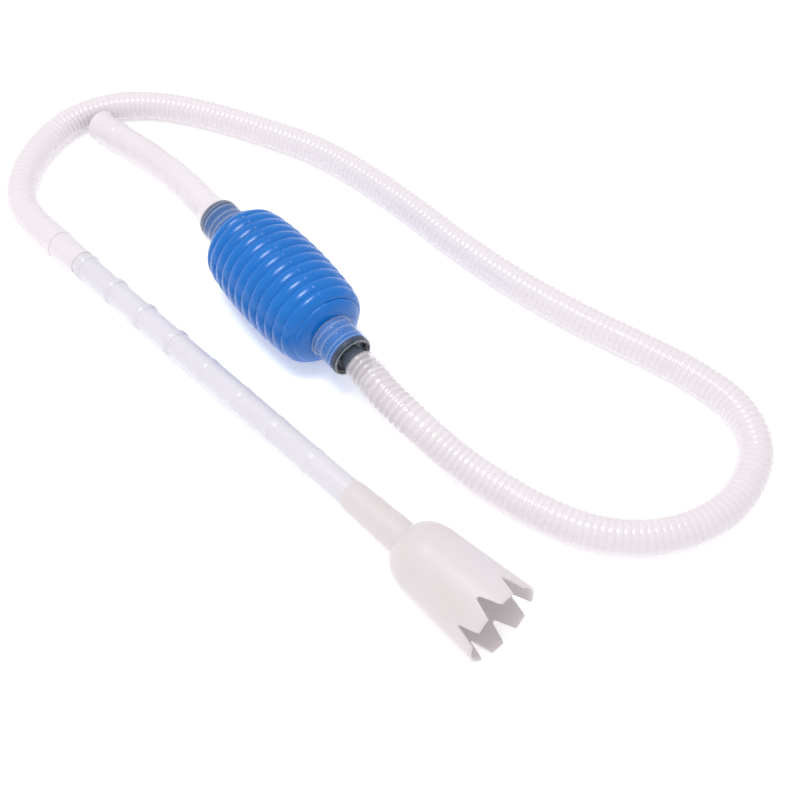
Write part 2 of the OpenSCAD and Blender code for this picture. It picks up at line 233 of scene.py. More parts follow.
class TubeSettings(bpy.types.PropertyGroup):
    """Shape of the gravel tube"""

    start: length("Start", "Distance of the tube's end into its cuff", 3 * MM)
    long: length("Length", "Length of the tube", 332.5 * MM)
    radius: length("Radius", "Outside radius", 8 * MM)
    wall: length("Wall", "Thickness of the wall", 1.1 * MM)
    first_bead: length("First bead", "Distance to the first ring bead", 46 * MM)
    bead_pitch: length("Bead pitch", "Spacing of the ring beads", 31.2 * MM)
    tall: length("Tall bead", "Height of the beads near the hose", 1.15 * MM)
    low: length("Low bead", "Height of the other beads", 0.45 * MM)
    beads: IntProperty(name="Beads", description="Number of ring beads", default=8)
    tall_beads: IntProperty(name="Tall beads", description="How many are tall", default=4)


class CupSettings(bpy.types.PropertyGroup):
    """Shape of the gravel cup"""

    start: length("Start", "Distance of the socket's mouth along the tube", 295.5 * MM)
    socket: length("Socket", "Length of the socket", 42.5 * MM)
    shoulder: length("Shoulder", "Length of the round shoulder", 20 * MM)
    skirt: length("Skirt", "Length from the shoulder to the tips", 48.2 * MM)
    shoulder_r: length("Shoulder radius", "Radius past the shoulder", 20.5 * MM)
    rim_r: length("Rim radius", "Radius over the tips", 23.6 * MM)
    wall: length("Wall", "Thickness of the wall", 1.3 * MM)
    tooth: length("Tooth", "Depth of the notches", 11.3 * MM)
    notch: length("Notch", "Width of a notch at the tips", 9.8 * MM)
    root: length("Root", "Width of a notch at its root", 1.8 * MM)


class FinishSettings(bpy.types.PropertyGroup):
    """Colours and finishes"""

    blue: colour("Bulb blue", "Colour of the bulb", (0.002, 0.140, 0.50))
    film: colour("Clear film", "Colour of the clear collar", (0.20, 0.32, 0.58))
    smoke: colour("Smoky film", "Colour of the outlet's collar", (0.06, 0.16, 0.38))
    milk: colour("Milky hose", "Colour of the hoses", (0.715, 0.668, 0.70))
    cool: colour("Cool milk", "Colour of the gravel tube", (0.655, 0.632, 0.685))
    cup: colour("Cup milk", "Colour of the gravel cup", (0.585, 0.545, 0.573))
    warm: colour("Warm milk", "Tint of the cup's thicker parts", (0.575, 0.52, 0.52))
    # Painted shade: the greyer colour mixed into the foot of each corrugation
    groove: colour("Painted groove shade", "Colour at the foot of a corrugation", (0.675, 0.62, 0.66))
    dark: colour("Valve grey", "Colour of the valve bodies", (0.03, 0.042, 0.065))
    black: colour("Gasket black", "Colour of gaskets and discs", (0.012, 0.012, 0.013))
    clear_cover: factor("Clear cover", "How much a clear wall hides", 0.07)
    smoke_cover: factor("Smoke cover", "How much the smoky wall hides", 0.3)
    hose_cover: factor("Hose cover", "How milky the hoses are", 0.96)
    tube_cover: factor("Tube cover", "How milky the gravel tube is", 0.95)
    cup_cover: factor("Cup cover", "How milky the cup is", 0.86)


class StageSettings(bpy.types.PropertyGroup):
    """Camera, lamps and floor"""

    aim: FloatVectorProperty(
        name="Aim", description="Point on the floor that the camera looks at",
        default=(0.0512, 0.0366, 0.0), subtype="XYZ", unit="LENGTH",
    )
    heading: FloatProperty(
        name="Heading", description="Direction that the camera looks in, from +X",
        default=math.radians(135.61), subtype="ANGLE",
    )
    dip: FloatProperty(
        name="Dip", description="Angle below the horizon", default=math.radians(52.2),
        subtype="ANGLE",
    )
    eye: length("Eye height", "Height of the camera above the floor", 525.08 * MM)
    lens: FloatProperty(name="Lens", description="Focal length in millimetres", default=50)
    lamp: length("Lamp", "Side of the overhead soft box", 420 * MM)
    key: FloatProperty(name="Key", description="Power of the overhead soft box", default=9)
    fill: FloatProperty(name="Fill", description="Strength of the surrounding light", default=0.8)
    glow: FloatProperty(name="Glow", description="Light given back by the floor", default=0.3)


SETTINGS = {
    "siphon_bulb": BulbSettings,
    "siphon_hose": HoseSettings,
    "siphon_tube": TubeSettings,
    "siphon_cup": CupSettings,
    "siphon_finish": FinishSettings,
    "siphon_stage": StageSettings,
}


# ---------------------------------------------------------------- meshes


def link(name, mesh):
    piece = bpy.data.objects.new(name, mesh)
    bpy.context.scene.collection.objects.link(piece)
    return piece


def skin(name, rings, marks=None, sharp=math.radians(50)):
    """Closed skin through rings of points: an array of (rings, sides, 3), closed both ways.
    marks holds named values for each ring, which a material can read."""
    count, sides = rings.shape[:2]
    k = np.arange(sides)
    after = (k + 1) % sides
    faces = []
    for i in range(count):
        j = (i + 1) % count
        quad = np.stack([i * sides + k, i * sides + after, j * sides + after, j * sides + k], 1)
        faces.append(quad)
    mesh = bpy.data.meshes.new(name)
    mesh.from_pydata(rings.reshape(-1, 3).tolist(), [], np.concatenate(faces).tolist())
    step = np.linalg.norm(np.diff(rings, axis=0, append=rings[:1]), axis=2).mean(1)
    along = np.concatenate([[0], np.cumsum(step)]) / step.sum()
    u = np.stack([k, k + 1, k + 1, k], 1) / sides
    uv = np.empty((count, sides, 4, 2))
    uv[..., 0] = u
    uv[..., :2, 1] = along[:-1, None, None]
    uv[..., 2:, 1] = along[1:, None, None]
    mesh.uv_layers.new(name=BAKE_MAP).data.foreach_set("uv", uv.astype(np.float32).ravel())
    for mark, values in (marks or {}).items():
        spread = np.repeat(np.asarray(values, np.float32), sides)
        mesh.attributes.new(mark, "FLOAT", "POINT").data.foreach_set("value", spread)
    outwards(mesh)
    mesh.shade_smooth()
    mesh.set_sharp_from_angle(angle=sharp)
    return link(name, mesh)


def outwards(mesh):
    """Turns the faces of a closed mesh outwards."""
    shape = bmesh.new()
    shape.from_mesh(mesh)
    bmesh.ops.recalc_face_normals(shape, faces=shape.faces)
    shape.to_mesh(mesh)
    shape.free()


def eased(outline, steps=4):
    """Rounds the corners of a closed outline of (radius, distance, rounding) points."""
    points = [np.array(p[:2], float) for p in outline]
    count = len(points)
    made = []
    for i, corner in enumerate(outline):
        ease = corner[2] if len(corner) > 2 else 0
        if not ease:
            made.append(points[i])
            continue
        before, after = points[i - 1], points[(i + 1) % count]
        to_before, to_after = before - points[i], after - points[i]
        reach_before = min(ease, np.linalg.norm(to_before) * 0.49)
        reach_after = min(ease, np.linalg.norm(to_after) * 0.49)
        a = points[i] + to_before / np.linalg.norm(to_before) * reach_before
        b = points[i] + to_after / np.linalg.norm(to_after) * reach_after
        for t in np.linspace(0, 1, steps + 1):
            made.append((1 - t) ** 2 * a + 2 * t * (1 - t) * points[i] + t * t * b)
    return np.array(made)


def spread_angles(sides, seam_r=None):
    """Angles round a piece, with extra ones beside the seams at the top and the bottom."""
    angles = set(np.round(np.linspace(0, 2 * math.pi, sides, endpoint=False), 6))
    if seam_r:
        for seam in (0, math.pi):
            for off in (0.15 * MM, 0.35 * MM, 0.6 * MM, 1 * MM):
                for way in (-1, 1):
                    angles.add(round((seam + way * off / seam_r) % (2 * math.pi), 6))
    return np.array(sorted(angles))


def turned(name, place, outline, sides=96, relief=None, marks=None, seam_r=None):
    """Turns a closed outline of (radius, distance) about a place's axis. relief gives an
    added height and an added distance at (angle, radius, distance)."""
    outline = np.asarray(outline, float)
    angles = spread_angles(sides, seam_r)
    sides = len(angles)
    radius = np.repeat(outline[:, :1], sides, 1)
    distance = np.repeat(outline[:, 1:2], sides, 1)
    if relief:
        added, shift = relief(angles[None, :], radius, distance)
        radius, distance = radius + added, distance + shift
    return skin(name, around(place, angles, radius, distance), marks)


def around(place, angles, radius, distance):
    up, side, axis = (np.array(v) for v in (place.up, place.side, place.axis))
    spoke = np.cos(angles)[:, None] * up + np.sin(angles)[:, None] * side
    return np.array(place.origin) + radius[..., None] * spoke + distance[..., None] * axis


def seam_ridge(angles, seam_h, width, radius):
    """Height of a fine ridge at the top and the bottom of a moulded piece."""
    off = np.abs(np.sin(angles)) * radius / width
    return seam_h * np.exp(-off * off)


def smooth_line(points, steps=24):
    """A smooth curve through all the points, closely sampled."""
    p = np.array([list(q) for q in points], float)
    last = len(p) - 1
    line = []
    for i in range(last):
        a, b, c, d = p[max(i - 1, 0)], p[i], p[i + 1], p[min(i + 2, last)]
        for t in np.arange(steps) / steps:
            line.append(
                0.5 * (2 * b + (c - a) * t + (2 * a - 5 * b + 4 * c - d) * t * t
                       + (3 * b - a - 3 * c + d) * t ** 3)
            )
    line.append(p[last])
    return np.array(line)


def distances(line):
    return np.concatenate([[0], np.cumsum(np.linalg.norm(np.diff(line, axis=0), axis=1))])


def resampled(line, where):
    along = distances(line)
    return np.stack([np.interp(where, along, line[:, k]) for k in range(3)], 1)


def tube_rings(line, centres, radius, sides, seam_h):
    """Rings of points square to the line, at these distances along it."""
    reach = 0.5 * MM
    spot = resampled(line, centres)
    ahead = resampled(line, np.minimum(centres + reach, distances(line)[-1]))
    behind = resampled(line, np.maximum(centres - reach, 0))
    heading = ahead - behind
    heading /= np.linalg.norm(heading, axis=1)[:, None]
    side = np.cross(np.array(UP), heading)
    side /= np.linalg.norm(side, axis=1)[:, None]
    up = np.cross(heading, side)
    angles = np.linspace(0, 2 * math.pi, sides, endpoint=False)
    ridge = seam_ridge(angles, seam_h, 0.9 * MM, HOSE_R)
    spoke = np.cos(angles)[None, :, None] * up[:, None] + np.sin(angles)[None, :, None] * side[:, None]
    return spot[:, None] + (radius[:, None] + ridge)[..., None] * spoke


HOSE_SIDES = 32
BORE_STEP = 2.5 * MM
PATH_STEP = 4 * MM
# Radius through one corrugation: (share of the pitch, share of the depth below the crest)
CORRUGATION = [(0.0, 0.0), (0.13, 0.07), (0.26, 0.3), (0.38, 0.75), (0.5, 1.0),
               (0.62, 0.75), (0.74, 0.3), (0.87, 0.07)]


def corrugated_hose(name, route, lead_in, lead_out, clear_from_start):
    """A corrugated skin with a smooth bore. It starts lead_in before the route's first
    point and ends lead_out past its last one, over the cuffs."""
    hose = bpy.context.scene.siphon_hose
    points = [Vector(p) for p in route]
    first = points[0] - lead_in[0] * lead_in[1]
    last = points[-1] + lead_out[0] * lead_out[1]
    line = smooth_line([first, *points, last])
    total = distances(line)[-1]
    turns = round(total / hose.pitch)
    pitch = total / turns
    centres, below = [], []
    for turn in range(turns):
        for share, depth in CORRUGATION:
            centres.append((turn + share) * pitch)
            below.append(depth)
    centres.append(total)
    below.append(0.0)
    centres, below = np.array(centres), np.array(below)
    outside = tube_rings(line, centres, HOSE_R - hose.depth * below, HOSE_SIDES, hose.seam_h)
    inner_centres = np.linspace(total, 0, round(total / BORE_STEP))
    bore = np.full(len(inner_centres), hose.bore_r)
    inside = tube_rings(line, inner_centres, bore, HOSE_SIDES, 0)
    rings = np.concatenate([outside, inside])
    from_bulb = np.concatenate([centres, inner_centres])
    clear = np.clip(1 - from_bulb / hose.clear_len, 0, 1) if clear_from_start else from_bulb * 0
    # Depth below the crest; the hose material uses it to paint shade into the grooves
    groove = np.concatenate([below, np.zeros(len(inner_centres))])
    piece = skin(name, rings, {"clear": clear, "groove": groove}, sharp=math.radians(80))
    return piece, resampled(line, np.linspace(0, total, round(total / PATH_STEP)))


# ---------------------------------------------------------------- finishes


def effect_group(name, inputs, outputs):
    """A shader node group with these sockets: name -> (kind, default)."""
    tree = bpy.data.node_groups.new(name, "ShaderNodeTree")
    for label, (kind, default) in inputs.items():
        socket = tree.interface.new_socket(label, in_out="INPUT", socket_type=kind)
        socket.default_value = default
    for label, kind in outputs.items():
        tree.interface.new_socket(label, in_out="OUTPUT", socket_type=kind)
    return tree


def node(tree, kind, inputs=None, **settings):
    """Adds a node. An input is a value, or an output socket to link from."""
    made = tree.nodes.new(kind)
    for name, value in settings.items():
        setattr(made, name, value)
    for key, value in (inputs or {}).items():
        if isinstance(value, bpy.types.NodeSocket):
            tree.links.new(value, made.inputs[key])
        else:
            made.inputs[key].default_value = value
    return made


def moulded_group():
    """Soft clouds in the colour, and a fine uneven skin, as on blown or moulded vinyl."""
    name = "Moulded skin"
    if name in bpy.data.node_groups:
        return bpy.data.node_groups[name]
    tree = effect_group(
        name,
        {
            "Colour": ("NodeSocketColor", (0.8, 0.8, 0.8, 1)),
            "Cloud colour": ("NodeSocketColor", (0.7, 0.7, 0.7, 1)),
            "Cloud size": ("NodeSocketFloat", 30.0),
            "Cloud amount": ("NodeSocketFloat", 0.5),
            "Roughness": ("NodeSocketFloat", 0.3),
            "Roughness spread": ("NodeSocketFloat", 0.1),
            "Grain size": ("NodeSocketFloat", 900.0),
        },
        {"Colour": "NodeSocketColor", "Roughness": "NodeSocketFloat", "Height": "NodeSocketFloat"},
    )
    given = tree.nodes.new("NodeGroupInput").outputs
    place = node(tree, "ShaderNodeTexCoord").outputs["Object"]
    clouds = node(tree, "ShaderNodeTexNoise", {
        "Vector": place, "Scale": given["Cloud size"], "Detail": 3.0, "Roughness": 0.55,
    })
    spread = node(tree, "ShaderNodeMapRange", {
        "Value": clouds.outputs["Fac"], "From Min": 0.35, "From Max": 0.65,
        "To Max": given["Cloud amount"],
    })
    tint = node(tree, "ShaderNodeMix", {
        "Factor": spread.outputs["Result"], "A": given["Colour"], "B": given["Cloud colour"],
    }, data_type="RGBA")
    grain = node(tree, "ShaderNodeTexNoise", {
        "Vector": place, "Scale": given["Grain size"], "Detail": 2.0, "Roughness": 0.5,
    })
    rough = node(tree, "ShaderNodeMath", {
        0: clouds.outputs["Fac"], 1: given["Roughness spread"], 2: given["Roughness"],
    }, operation="MULTIPLY_ADD")
    result = node(tree, "NodeGroupOutput")
    tree.links.new(tint.outputs["Result"], result.inputs["Colour"])
    tree.links.new(rough.outputs["Value"], result.inputs["Roughness"])
    tree.links.new(grain.outputs["Fac"], result.inputs["Height"])
    return tree


def fresh_material(name):
    made = bpy.data.materials.new(name)
    made.use_nodes = True
    return made, made.node_tree, made.node_tree.nodes["Principled BSDF"]


def moulded(tree, shader, colour_a, colour_b, rough, spread, cloud=30.0, amount=0.5,
            grain=900.0, bump=0.03):
    """Feeds a shader's colour, roughness and normal from the moulded skin."""
    group = node(tree, "ShaderNodeGroup", node_tree=moulded_group())
    for key, value in {
        "Colour": (*colour_a, 1), "Cloud colour": (*colour_b, 1), "Cloud size": cloud,
        "Cloud amount": amount, "Roughness": rough, "Roughness spread": spread,
        "Grain size": grain,
    }.items():
        group.inputs[key].default_value = value
    relief = node(tree, "ShaderNodeBump", {
        "Height": group.outputs["Height"], "Strength": bump, "Distance": 0.1 * MM,
    })
    tree.links.new(group.outputs["Colour"], shader.inputs["Base Color"])
    tree.links.new(group.outputs["Roughness"], shader.inputs["Roughness"])
    tree.links.new(relief.outputs["Normal"], shader.inputs["Normal"])
    return group


def bulb_vinyl():
    finish = bpy.context.scene.siphon_finish
    made, tree, shader = fresh_material("Blue soft vinyl")
    blue = Vector(finish.blue)
    moulded(tree, shader, blue, blue * 0.84, 0.2, 0.1, cloud=24, amount=0.6, bump=0.05)
    shader.inputs["Subsurface Weight"].default_value = 0.2
    shader.inputs["Subsurface Radius"].default_value = (0.3, 0.6, 1.0)
    shader.inputs["Subsurface Scale"].default_value = 4 * MM
    shader.inputs["Specular IOR Level"].default_value = 0.35
    shader.inputs["Coat Weight"].default_value = 0.08
    shader.inputs["Coat Roughness"].default_value = 0.1
    return made


def film(name, tint, cover, rough=0.07):
    """Clear soft plastic: a thin see-through film, with painted highlights that make it paler and less clear
    wherever its mark is set, such as its cut edges.
    """
    made, tree, shader = fresh_material(name)
    tint = Vector(tint)
    group = moulded(tree, shader, tint, tint * 0.8, rough, 0.08, cloud=90, amount=0.6, bump=0.05)
    painted_highlight = node(tree, "ShaderNodeAttribute", attribute_name="painted_highlight").outputs["Fac"]
    highlight_paint = node(tree, "ShaderNodeMix", {
        # Painted highlight: the mark mixes near-white into the colour and raises the cover
        "Factor": painted_highlight, "A": group.outputs["Colour"], "B": (0.93, 0.94, 0.95, 1),
    }, data_type="RGBA")
    tree.links.new(highlight_paint.outputs["Result"], shader.inputs["Base Color"])
    hides = node(tree, "ShaderNodeMapRange", {"Value": painted_highlight, "To Min": cover, "To Max": 0.28})
    tree.links.new(hides.outputs["Result"], shader.inputs["Alpha"])
    shader.inputs["Coat Weight"].default_value = 0.3
    shader.inputs["Coat Roughness"].default_value = 0.05
    return made


def clear_vinyl():
    finish = bpy.context.scene.siphon_finish
    return film("Clear vinyl", finish.film, finish.clear_cover)


def glassy_vinyl():
    """Almost colourless, so that the dark spigot shows through."""
    return film("Glassy vinyl", (0.42, 0.47, 0.55), 0.04)


def smoky_vinyl():
    finish = bpy.context.scene.siphon_finish
    return film("Smoky vinyl", finish.smoke, finish.smoke_cover, rough=0.2)


def soften(shader):
    """Light spreads a little way through a thin milky wall."""
    shader.inputs["Subsurface Weight"].default_value = 0.15
    shader.inputs["Subsurface Radius"].default_value = (1.0, 0.95, 0.95)
    shader.inputs["Subsurface Scale"].default_value = 0.6 * MM


def milky(name, colour_a, colour_b, cover, rough=0.28, cloud=30.0, amount=0.6):
    made, tree, shader = fresh_material(name)
    moulded(tree, shader, colour_a, colour_b, rough, 0.12, cloud=cloud, amount=amount)
    shader.inputs["Alpha"].default_value = cover
    soften(shader)
    return made


def hose_vinyl():
    """Milky between grooves, with painted shade that greys the foot of each groove, and clearer where the hose
    leaves the bulb.
    """
    finish = bpy.context.scene.siphon_finish
    milk = Vector(finish.milk)
    made, tree, shader = fresh_material("Milky hose vinyl")
    group = moulded(tree, shader, milk, milk * 0.97, 0.1, 0.08, cloud=40, bump=0.02)
    groove = node(tree, "ShaderNodeAttribute", attribute_name="groove").outputs["Fac"]
    # Painted shade: the groove mark mixes the greyer groove colour into the foot of each corrugation
    line = node(tree, "ShaderNodeMix", {
        "Factor": groove, "A": group.outputs["Colour"], "B": (*finish.groove, 1),
    }, data_type="RGBA")
    tree.links.new(line.outputs["Result"], shader.inputs["Base Color"])
    clear = node(tree, "ShaderNodeAttribute", attribute_name="clear").outputs["Fac"]
    cover = node(tree, "ShaderNodeMapRange", {
        "Value": clear, "To Min": finish.hose_cover, "To Max": finish.hose_cover * 0.3,
    })
    # Where the hose is clear, the foot of each groove still shows as a painted grey line of shade
    line_cover = node(tree, "ShaderNodeMath", {
        0: groove, 1: 0.3, 2: cover.outputs["Result"],
    }, operation="MULTIPLY_ADD", use_clamp=True)
    tree.links.new(line_cover.outputs["Value"], shader.inputs["Alpha"])
    soften(shader)
    return made


def dark_plastic():
    finish = bpy.context.scene.siphon_finish
    dark = Vector(finish.dark)
    made, tree, shader = fresh_material("Dark grey plastic")
    moulded(tree, shader, dark, dark * 1.4, 0.22, 0.15, cloud=120, bump=0.06)
    return made


def black_rubber():
    finish = bpy.context.scene.siphon_finish
    black = Vector(finish.black)
    made, tree, shader = fresh_material("Black rubber")
    moulded(tree, shader, black, black * 1.8, 0.3, 0.2, cloud=200, bump=0.1)
    return made


def material(name, maker):
    """The material of that name, made once."""
    return bpy.data.materials.get(name) or maker()


def finished(piece, look, slot, body, *stands_for):
    """Gives a piece its material and its body, and hides the CAD nodes that it stands for. The slot is not used.
    """
    piece.data.materials.clear()
    piece.data.materials.append(look)
    if stands_for:
        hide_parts(*stands_for)
    if body:
        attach(piece, body)
    return piece


# ---------------------------------------------------------------- pieces


class SIPHON_OT_stage(bpy.types.Operator):
    """Camera, lamps, surrounding light and the pale floor"""

    bl_idname = "siphon.stage"
    bl_label = "Stage"

    def execute(self, context):
        stage = context.scene.siphon_stage
        self.camera(context, stage)
        self.lamps(context, stage)
        self.floor(stage)
        context.scene.view_settings.view_transform = "Standard"
        return {"FINISHED"}

    def camera(self, context, stage):
        look = Vector((
            math.cos(stage.heading) * math.cos(stage.dip),
            math.sin(stage.heading) * math.cos(stage.dip),
            -math.sin(stage.dip),
        ))
        lens = bpy.data.cameras.new("Camera")
        lens.lens = stage.lens
        camera = link("Camera", lens)
        camera.location = Vector(stage.aim) - look * (stage.eye / math.sin(stage.dip))
        camera.rotation_euler = look.to_track_quat("-Z", "Y").to_euler()
        context.scene.camera = camera

    def lamps(self, context, stage):
        box = bpy.data.lights.new("Overhead soft box", "AREA")
        box.shape = "RECTANGLE"
        box.size = box.size_y = stage.lamp
        box.energy = stage.key
        lamp = link("Overhead soft box", box)
        lamp.location = (-0.05, -0.15, 1.25)
        lamp.rotation_euler = (-lamp.location).to_track_quat("-Z", "Y").to_euler()
        world = bpy.data.worlds.new("Studio")
        world.use_nodes = True
        backdrop = world.node_tree.nodes["Background"]
        backdrop.inputs["Color"].default_value = (1, 1, 1, 1)
        backdrop.inputs["Strength"].default_value = stage.fill
        context.scene.world = world

    def floor(self, stage):
        half = 3.0
        mesh = bpy.data.meshes.new("Floor")
        corners = [(-half, -half), (half, -half), (half, half), (-half, half)]
        mesh.from_pydata([(x, y, -FLOOR_GAP) for x, y in corners], [], [(0, 1, 2, 3)])
        made, tree, shader = fresh_material("Pale floor")
        shader.inputs["Base Color"].default_value = (0.96, 0.96, 0.97, 1)
        shader.inputs["Roughness"].default_value = 0.6
        shader.inputs["Specular IOR Level"].default_value = 0.2
        shader.inputs["Emission Color"].default_value = (1, 1, 1, 1)
        shader.inputs["Emission Strength"].default_value = stage.glow
        mesh.materials.append(made)
        link("Floor", mesh)


class SIPHON_OT_main_hose(bpy.types.Operator):
    """Corrugated hose from the inlet to the gravel tube"""

    bl_idname = "siphon.main_hose"
    bl_label = "Main Hose"

    def execute(self, context):
        piece, path = corrugated_hose(
            "main_hose_skin", MAIN_ROUTE, (INLET.axis, CUFF_UNDER), (TUBE.axis, TUBE_SKIN_END), True
        )
        look = material("Milky hose vinyl", hose_vinyl)
        finished(piece, look, "hose_vinyl", "siphon", "main_hose")
        return {"FINISHED"}


class SIPHON_OT_tail_hose(bpy.types.Operator):
    """Short corrugated hose from the outlet to the free end"""

    bl_idname = "siphon.tail_hose"
    bl_label = "Tail Hose"

    def execute(self, context):
        piece, path = corrugated_hose(
            "tail_hose_skin", TAIL_ROUTE, (OUTLET.axis, CUFF_UNDER), (TAIL.axis, CUFF_UNDER), False
        )
        look = material("Milky hose vinyl", hose_vinyl)
        finished(piece, look, "hose_vinyl", "outlet_end", "tail_hose")
        return {"FINISHED"}


class SIPHON_OT_cuffs(bpy.types.Operator):
    """Smooth cuffs at the four ends of the two hoses"""

    bl_idname = "siphon.cuffs"
    bl_label = "Hose Cuffs"

    def execute(self, context):
        finish = context.scene.siphon_finish
        milk = Vector(finish.milk)
        cuff_look = milky("Milky cuff vinyl", milk, milk * 0.95, finish.hose_cover, rough=0.16)
        inlet = turned("inlet_cuff_sleeve", INLET, self.neck_cuff())
        finished(inlet, glassy_vinyl(), "cuff_vinyl", "siphon", "inlet_cuff")
        outlet = turned("outlet_cuff_sleeve", OUTLET, self.coned_cuff())
        finished(outlet, cuff_look, "cuff_vinyl", "outlet_end", "outlet_cuff")
        tube = turned("tube_cuff_sleeve", TUBE, self.tube_cuff())
        finished(tube, cuff_look, "cuff_vinyl", "siphon", "tube_cuff")
        tail = turned("tail_end_sleeve", TAIL, self.tail_cuff())
        finished(tail, cuff_look, "cuff_vinyl", "outlet_end", "tail_end_cuff")
        return {"FINISHED"}

    def neck_cuff(self):
        thin = BARB_OUT - 0.8 * MM
        return eased([
            (HOSE_BORE_R, FLANGE_OUT + 0.1 * MM, 0.2 * MM),
            (CUFF_R, FLANGE_OUT + 0.1 * MM, 0.3 * MM),
            (CUFF_R, thin - 1 * MM, 0.6 * MM),
            (HOSE_R - 0.3 * MM, thin, 0.2 * MM),
            (CUFF_THIN_R, thin, 0.1 * MM),
            (CUFF_THIN_R, CUFF_OUT, 0.2 * MM),
            (HOSE_BORE_R, CUFF_OUT, 0.2 * MM),
        ])

    def coned_cuff(self):
        thin = BARB_OUT - 0.8 * MM
        start = COLLAR_END + 0.3 * MM
        end = start + 11.4 * MM
        rim = NECK_R + 0.1 * MM
        sleeve = HOSE_R + 0.15 * MM
        return eased([
            (HOSE_BORE_R, FLANGE_OUT + 0.1 * MM, 0.2 * MM),
            (CUFF_R, FLANGE_OUT + 0.1 * MM, 0.3 * MM),
            (CUFF_R, start, 0.2 * MM), (rim, start, 0.3 * MM),
            (rim - 0.06 * MM, start + 0.8 * MM, 0.6 * MM), (12.4 * MM, start + 3 * MM, 2 * MM),
            (11.2 * MM, start + 6 * MM, 2 * MM), (10.65 * MM, start + 9 * MM, 2 * MM),
            (sleeve + 0.35 * MM, end, 0.3 * MM), (sleeve, end, 0.15 * MM),
            (sleeve, thin, 0.1 * MM), (CUFF_THIN_R, thin, 0.1 * MM),
            (CUFF_THIN_R, CUFF_OUT, 0.2 * MM), (HOSE_BORE_R, CUFF_OUT, 0.2 * MM),
        ])

    def tube_cuff(self):
        wide = HOSE_R - 0.3 * MM
        narrow = HOSE_BORE_R + 0.55 * MM
        return eased([
            (HOSE_BORE_R, 0, 0.2 * MM), (CUFF_THIN_R, 0, 0.2 * MM),
            (CUFF_THIN_R, TUBE_SKIN_END, 0.1 * MM), (wide, TUBE_SKIN_END, 0.2 * MM),
            (wide, TUBE_SKIN_END + 2 * MM, 4 * MM), (narrow, TUBE_CUFF_LEN - 1 * MM, 1 * MM),
            (narrow - 0.25 * MM, TUBE_CUFF_LEN, 0.2 * MM), (HOSE_BORE_R, TUBE_CUFF_LEN, 0.2 * MM),
        ])

    def tail_cuff(self):
        bead = (CUFF_UNDER + TAIL_CUFF_END) / 2
        narrow = TAIL_BORE_R - 0.45 * MM
        flare = HOSE_R + 1.5 * MM
        return eased([
            (narrow, 0, 0.2 * MM), (CUFF_THIN_R, 0, 0.2 * MM), (CUFF_THIN_R, CUFF_UNDER, 0.1 * MM),
            (HOSE_R - 0.2 * MM, CUFF_UNDER, 0.2 * MM), (HOSE_R, CUFF_UNDER + 0.8 * MM, 0.6 * MM),
            (HOSE_R, bead - 2 * MM, 0.6 * MM), (HOSE_R + 0.7 * MM, bead - 1.1 * MM, 0.5 * MM),
            (HOSE_R + 0.25 * MM, bead, 0.4 * MM), (HOSE_R + 0.7 * MM, bead + 1.1 * MM, 0.5 * MM),
            (HOSE_R, bead + 2 * MM, 0.6 * MM), (HOSE_R, TAIL_CUFF_END - 7 * MM, 2 * MM),
            (HOSE_R + 0.5 * MM, TAIL_CUFF_END - 4 * MM, 2 * MM),
            (flare, TAIL_CUFF_END - 1 * MM, 0.5 * MM), (flare, TAIL_CUFF_END, 0.4 * MM),
            (flare - 1 * MM, TAIL_CUFF_END, 0.3 * MM), (TAIL_BORE_R, TAIL_CUFF_END - 4 * MM, 1 * MM),
            (TAIL_BORE_R, CUFF_UNDER, 0.2 * MM), (narrow, CUFF_UNDER, 0.2 * MM),
        ])


